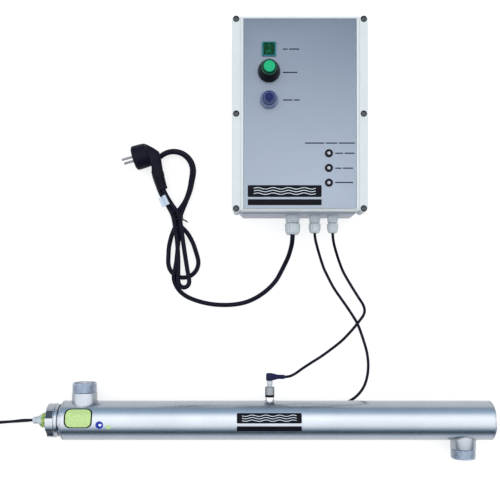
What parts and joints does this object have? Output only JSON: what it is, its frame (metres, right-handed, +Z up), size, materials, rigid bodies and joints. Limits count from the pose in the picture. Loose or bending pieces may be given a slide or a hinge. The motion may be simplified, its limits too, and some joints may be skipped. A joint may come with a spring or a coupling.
{
  "type": "uv clarifier",
  "caption": "Pond and aquarium UV clarifier: stainless flow reactor with a lamp and sensor, wired to a wall cabinet with controls, and a mains lead.",
  "frame": {"origin": "middle of the footprint of the reactor and the cabinet, on the surface that they lie on", "axes": "+X along the reactor, away from its lamp head; +Y from the reactor to the cabinet; +Z up, out of the cabinet's front"},
  "size_m": [1.0735, 0.8471, 0.13],
  "materials": {
    "stainless": "fine lengthwise grinding lines, satin",
    "stainless_turned": "turned and bright",
    "chrome": "bright plated",
    "plated_steel": "zinc plated",
    "plate_aluminium": "blue grey anodised, fine vertical grain",
    "cabinet_plastic": "light grey moulded polycarbonate, fine spark texture",
    "gland_plastic": "light grey moulded nylon",
    "black_plastic": "satin black",
    "green_lens": "clear green lens",
    "dark_green_lens": "clear dark green lens",
    "teal_plastic": "translucent teal",
    "blue_plastic": "satin dark blue",
    "boot_clear": "clear over the blue cap",
    "lens_white": "clear lens",
    "rubber_black": "matt",
    "cord_black": "smooth rubber sheath",
    "quartz": "clear",
    "ceramic": "white ceramic",
    "brass": "bright",
    "earth_wire": "green and yellow stripes",
    "circuit_board": "green solder mask",
    "component_black": "moulded housings",
    "nameplate": "printed film",
    "tag_white": "paper label",
    "label_green": "printed film",
    "label_blue": "printed film"
  },
  "bodies": {
    "root": {"reactor_tube": "stainless", "reactor_end_cap": "stainless", "inlet_nipple": "stainless_turned", "outlet_nipple": "stainless_turned", "head_ferrule": "stainless_turned", "head_flange": "gland_plastic", "sleeve_seal": "rubber_black", "quartz_sleeve": "quartz", "sleeve_support": "stainless_turned", "uv_lamp_glass": "quartz", "uv_lamp_caps": "ceramic", "uv_lamp_pins": "brass", "lamp_socket": "ceramic", "earth_lead": "earth_wire", "lamp_gland": "gland_plastic", "sensor_boss": "chrome", "sensor_seal": "rubber_black", "sensor_body": "stainless_turned", "sensor_window": "quartz", "sensor_neck": "gland_plastic", "sensor_plug": "black_plastic", "cabinet_base": "cabinet_plastic", "lid_seal": "rubber_black", "gland_bodies": "gland_plastic", "gland_nuts": "gland_plastic", "gland_seals": "rubber_black", "gland_locknuts": "gland_plastic", "mounting_plate": "plated_steel", "ballast": "component_black", "monitor_board": "circuit_board", "board_parts": "component_black", "terminal_block": "component_black", "mains_cord": "cord_black", "mains_cord_hank": "cord_black", "cord_tie": "black_plastic", "cord_tag": "tag_white", "mains_plug": "black_plastic", "plug_pins": "chrome", "lamp_lead": "cord_black", "lamp_lead_coil": "cord_black", "lamp_lead_tail": "cord_black", "sensor_lead": "cord_black"},
    "lid": {"cabinet_lid": "cabinet_plastic", "lid_screws": "plated_steel", "front_plate": "plate_aluminium", "front_nameplate": "nameplate", "rocker_housing": "teal_plastic", "power_bezel": "black_plastic", "power_switch_block": "component_black", "reset_bezel": "boot_clear", "reset_switch_block": "component_black", "led_bezels": "black_plastic", "led_lenses": "lens_white"},
    "lamp_rocker": {"lamp_rocker": "dark_green_lens"},
    "power_button": {"power_button": "green_lens"},
    "reset_button": {"reset_button": "blue_plastic"},
    "nut_thrust_ring": {"nut_thrust_ring": "rubber_black"},
    "union_nut": {"union_nut": "stainless_turned"},
    "sensor_ring": {"sensor_ring": "plated_steel"}
  },
  "joints": [
    {"name": "lid_lift", "type": "slide", "parent": "root", "child": "lid", "axis": [0, 0, 1], "range_m": [0, 0.14]},
    {"name": "lamp_rocker_tilt", "type": "hinge", "parent": "lid", "child": "lamp_rocker", "pos_m": [0.0125, 0.3575, 0.1005], "axis": [1, 0, 0], "range_deg": [-14, 0]},
    {"name": "power_button_press", "type": "slide", "parent": "lid", "child": "power_button", "axis": [0, 0, -1], "range_m": [0, 0.0035], "stiffness_N_per_m": 900, "springref_m": -0.001},
    {"name": "reset_button_press", "type": "slide", "parent": "lid", "child": "reset_button", "axis": [0, 0, -1], "range_m": [0, 0.003], "stiffness_N_per_m": 700, "springref_m": -0.001},
    {"name": "union_nut_travel", "type": "slide", "parent": "root", "child": "nut_thrust_ring", "axis": [-1, 0, 0], "range_m": [0, 0.0085]},
    {"name": "union_nut_turn", "type": "hinge", "parent": "nut_thrust_ring", "child": "union_nut", "pos_m": [-0.405, -0.3468, 0.03805], "axis": [-1, 0, 0], "range_deg": [0, 720]},
    {"name": "sensor_ring_spin", "type": "hinge", "parent": "root", "child": "sensor_ring", "pos_m": [0.0156, -0.288, 0.03805], "axis": [0, 1, 0], "continuous": true}
  ],
  "couplings": [
    {"joint": "union_nut_travel", "follows": "union_nut_turn", "m_per_rad": 0.0006737}
  ]
}
